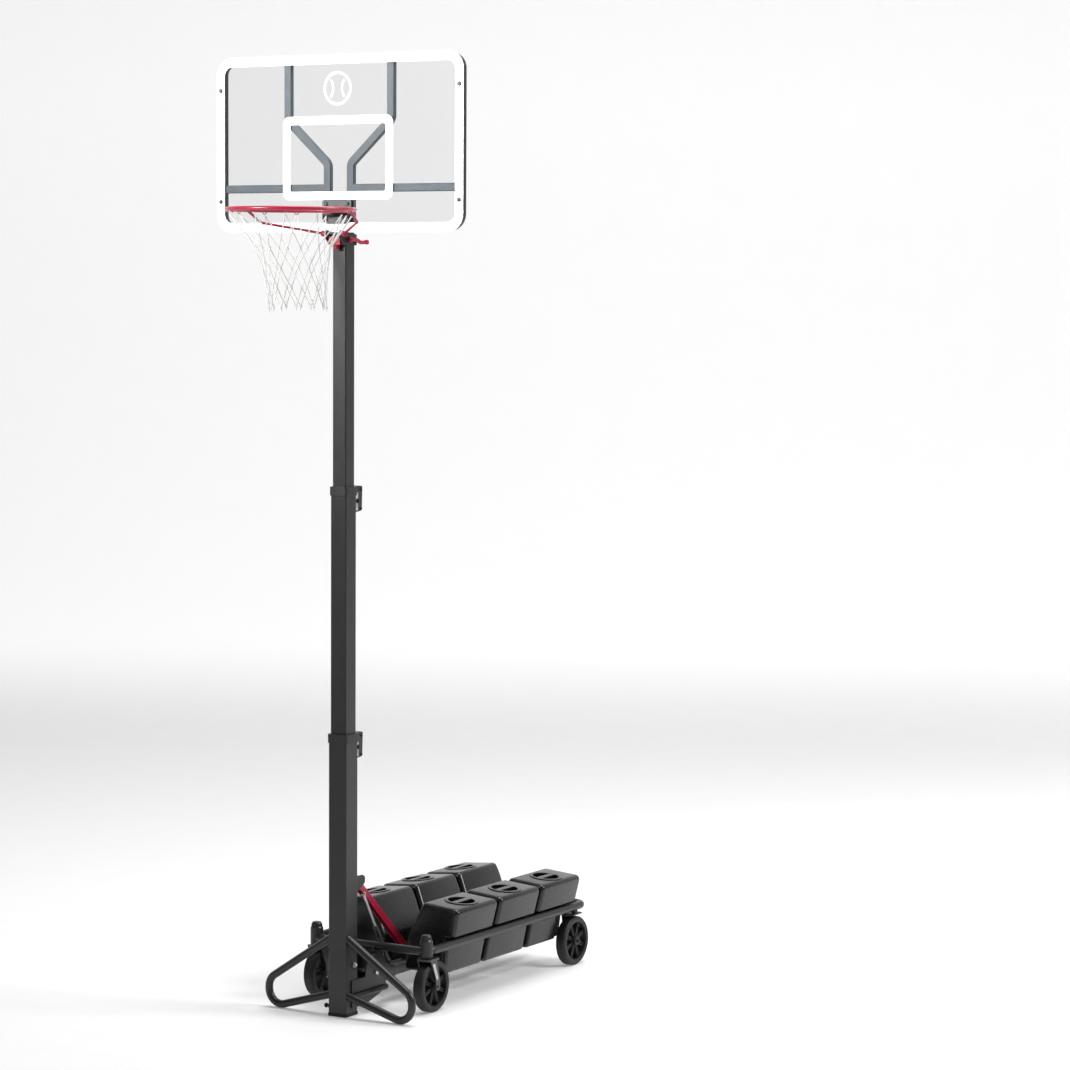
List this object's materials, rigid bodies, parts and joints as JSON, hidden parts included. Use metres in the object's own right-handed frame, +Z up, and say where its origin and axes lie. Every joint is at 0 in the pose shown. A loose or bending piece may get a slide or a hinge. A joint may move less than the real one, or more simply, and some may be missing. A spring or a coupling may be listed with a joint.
{
  "type": "portable basketball hoop",
  "caption": "Portable basketball hoop: telescopic square mast with board, folding ring and net, hinged on a wheeled ballast trolley with tanks.",
  "frame": {"origin": "centre of the mast foot's underside on the floor", "axes": "+Z up, +X to the right of a player facing the board, the ring faces -Y and the trolley runs towards +Y"},
  "size_m": [1.11, 1.968, 3.624],
  "materials": {
    "frame_paint": "fine textured powder coat, satin",
    "beam_grey": "grey powder coat, satin",
    "fork_grey": "light grey powder coat",
    "black_plastic": "moulded plastic, matte",
    "tank_black": "blow moulded plastic, satin",
    "cap_black": "moulded plastic, satin",
    "wheel_black": "moulded rubber and plastic, matte",
    "foot_rubber": "rubber, matte",
    "zinc": "zinc plated steel",
    "red_paint": "crimson powder coat, satin",
    "cylinder_black": "black painted steel, gloss",
    "clear_panel": "clear polycarbonate with white printed lines",
    "net_white": "white braided cord"
  },
  "bodies": {
    "trolley": {"trolley_rail": "frame_paint", "centre_beam": "beam_grey", "hinge_yoke": "frame_paint", "hinge_pin": "zinc", "caster_posts": "frame_paint", "post_caps": "black_plastic", "rear_forks": "frame_paint", "linkage_feet": "frame_paint", "tank_left_1": "tank_black", "tank_left_2": "tank_black", "tank_left_3": "tank_black", "tank_right_1": "tank_black", "tank_right_2": "tank_black", "tank_right_3": "tank_black"},
    "caster_left": {"caster_fork_left": "fork_grey"},
    "caster_right": {"caster_fork_right": "fork_grey"},
    "front_wheel_left": {"front_wheel_left": "wheel_black"},
    "front_wheel_right": {"front_wheel_right": "wheel_black"},
    "rear_wheel_left": {"rear_wheel_left": "wheel_black"},
    "rear_wheel_right": {"rear_wheel_right": "wheel_black"},
    "mast_lower": {"mast_lower": "frame_paint", "mast_foot": "foot_rubber", "lower_collar": "black_plastic", "side_foot_left": "frame_paint", "side_foot_right": "frame_paint", "foot_loop": "frame_paint", "mast_bracket": "frame_paint", "strut_hook": "frame_paint"},
    "mast_middle": {"mast_middle": "frame_paint", "upper_collar": "black_plastic"},
    "mast_upper": {"mast_upper": "frame_paint", "mast_cap": "black_plastic", "board_panel": "clear_panel", "board_edge": "frame_paint", "stay_left": "frame_paint", "stay_right": "frame_paint", "board_bracket": "frame_paint", "ring_plate": "frame_paint", "board_screws": "zinc", "ring_bracket": "frame_paint", "latch_body": "red_paint"},
    "ring": {"ring_rim": "red_paint", "net_hooks": "red_paint", "ring_braces": "red_paint", "net": "net_white"},
    "ring_lever": {"ring_lever": "red_paint"},
    "lower_lock_knob": {"lower_lock_knob": "black_plastic"},
    "upper_lock_knob": {"upper_lock_knob": "black_plastic"},
    "foot_knob": {"foot_knob": "black_plastic"},
    "side_knob": {"side_knob": "black_plastic"},
    "strut": {"strut": "red_paint"},
    "gas_cylinder": {"gas_cylinder": "cylinder_black"},
    "gas_rod": {"gas_rod": "zinc"},
    "release_loop": {"release_loop": "red_paint"},
    "cap_left_1": {"cap_left_1": "cap_black"},
    "cap_left_2": {"cap_left_2": "cap_black"},
    "cap_left_3": {"cap_left_3": "cap_black"},
    "cap_right_1": {"cap_right_1": "cap_black"},
    "cap_right_2": {"cap_right_2": "cap_black"},
    "cap_right_3": {"cap_right_3": "cap_black"}
  },
  "joints": [
    {"name": "mast_fold", "type": "hinge", "parent": "trolley", "child": "mast_lower", "pos_m": [0, 0.16, 0.142], "axis": [-1, 0, 0], "range_deg": [0, 90]},
    {"name": "middle_slide", "type": "slide", "parent": "mast_lower", "child": "mast_middle", "axis": [0, 0, -1], "range_m": [0, 0.8]},
    {"name": "upper_slide", "type": "slide", "parent": "mast_middle", "child": "mast_upper", "axis": [0, 0, -1], "range_m": [0, 0.65]},
    {"name": "ring_fold", "type": "hinge", "parent": "mast_upper", "child": "ring", "pos_m": [0, -0.064, 2.958], "axis": [1, 0, 0], "range_deg": [0, 90], "deforming": ["net"]},
    {"name": "ring_lever_turn", "type": "hinge", "parent": "mast_upper", "child": "ring_lever", "pos_m": [0.041, -0.016, 2.936], "axis": [-1, 0, 0], "range_deg": [0, 30]},
    {"name": "lower_lock_pull", "type": "slide", "parent": "mast_lower", "child": "lower_lock_knob", "axis": [0, 1, 0], "range_m": [0, 0.012], "stiffness_N_per_m": 300},
    {"name": "upper_lock_pull", "type": "slide", "parent": "mast_middle", "child": "upper_lock_knob", "axis": [0, 1, 0], "range_m": [0, 0.012], "stiffness_N_per_m": 300},
    {"name": "foot_knob_turn", "type": "hinge", "parent": "mast_lower", "child": "foot_knob", "pos_m": [-0.04, -0.028, 0.036], "axis": [-1, 0, 0], "continuous": true},
    {"name": "side_knob_turn", "type": "hinge", "parent": "mast_lower", "child": "side_knob", "pos_m": [-0.04, 0, 0.421], "axis": [-1, 0, 0], "continuous": true},
    {"name": "release_loop_swing", "type": "hinge", "parent": "mast_lower", "child": "release_loop", "pos_m": [0, 0.066, 0.482], "axis": [1, 0, 0], "range_deg": [-12, 30]},
    {"name": "strut_turn", "type": "hinge", "parent": "trolley", "child": "strut", "pos_m": [0, 0.45, 0.165], "axis": [-1, 0, 0], "range_deg": [0, 138]},
    {"name": "gas_turn", "type": "hinge", "parent": "trolley", "child": "gas_cylinder", "pos_m": [0.026, 0.272, 0.165], "axis": [-1, 0, 0], "range_deg": [0, 111]},
    {"name": "gas_stroke", "type": "slide", "parent": "gas_cylinder", "child": "gas_rod", "axis": [0, 0.5141, -0.8578], "range_m": [0, 0.1335]},
    {"name": "caster_swivel_left", "type": "hinge", "parent": "trolley", "child": "caster_left", "pos_m": [-0.253, 0.191, 0.24], "axis": [0, 0, 1], "continuous": true},
    {"name": "front_wheel_spin_left", "type": "hinge", "parent": "caster_left", "child": "front_wheel_left", "pos_m": [-0.253, 0.226, 0.1], "axis": [1, 0, 0], "continuous": true},
    {"name": "rear_wheel_spin_left", "type": "hinge", "parent": "trolley", "child": "rear_wheel_left", "pos_m": [-0.255, 1.285, 0.1], "axis": [1, 0, 0], "continuous": true},
    {"name": "cap_turn_left_1", "type": "hinge", "parent": "trolley", "child": "cap_left_1", "pos_m": [-0.205, 0.515, 0.3775], "axis": [-0.0872, 0, 0.9962], "continuous": true},
    {"name": "cap_turn_left_2", "type": "hinge", "parent": "trolley", "child": "cap_left_2", "pos_m": [-0.205, 0.835, 0.3775], "axis": [-0.0872, 0, 0.9962], "continuous": true},
    {"name": "cap_turn_left_3", "type": "hinge", "parent": "trolley", "child": "cap_left_3", "pos_m": [-0.205, 1.155, 0.3775], "axis": [-0.0872, 0, 0.9962], "continuous": true},
    {"name": "caster_swivel_right", "type": "hinge", "parent": "trolley", "child": "caster_right", "pos_m": [0.253, 0.191, 0.24], "axis": [0, 0, 1], "continuous": true},
    {"name": "front_wheel_spin_right", "type": "hinge", "parent": "caster_right", "child": "front_wheel_right", "pos_m": [0.253, 0.226, 0.1], "axis": [1, 0, 0], "continuous": true},
    {"name": "rear_wheel_spin_right", "type": "hinge", "parent": "trolley", "child": "rear_wheel_right", "pos_m": [0.255, 1.285, 0.1], "axis": [1, 0, 0], "continuous": true},
    {"name": "cap_turn_right_1", "type": "hinge", "parent": "trolley", "child": "cap_right_1", "pos_m": [0.205, 0.515, 0.3775], "axis": [0.0872, 0, 0.9962], "continuous": true},
    {"name": "cap_turn_right_2", "type": "hinge", "parent": "trolley", "child": "cap_right_2", "pos_m": [0.205, 0.835, 0.3775], "axis": [0.0872, 0, 0.9962], "continuous": true},
    {"name": "cap_turn_right_3", "type": "hinge", "parent": "trolley", "child": "cap_right_3", "pos_m": [0.205, 1.155, 0.3775], "axis": [0.0872, 0, 0.9962], "continuous": true}
  ],
  "couplings": [
    {"joint": "strut_turn", "follows": "mast_fold", "ratio": 1.5285},
    {"joint": "gas_turn", "follows": "mast_fold", "ratio": 1.2261},
    {"joint": "gas_stroke", "follows": "mast_fold", "m_per_rad": 0.084776}
  ]
}
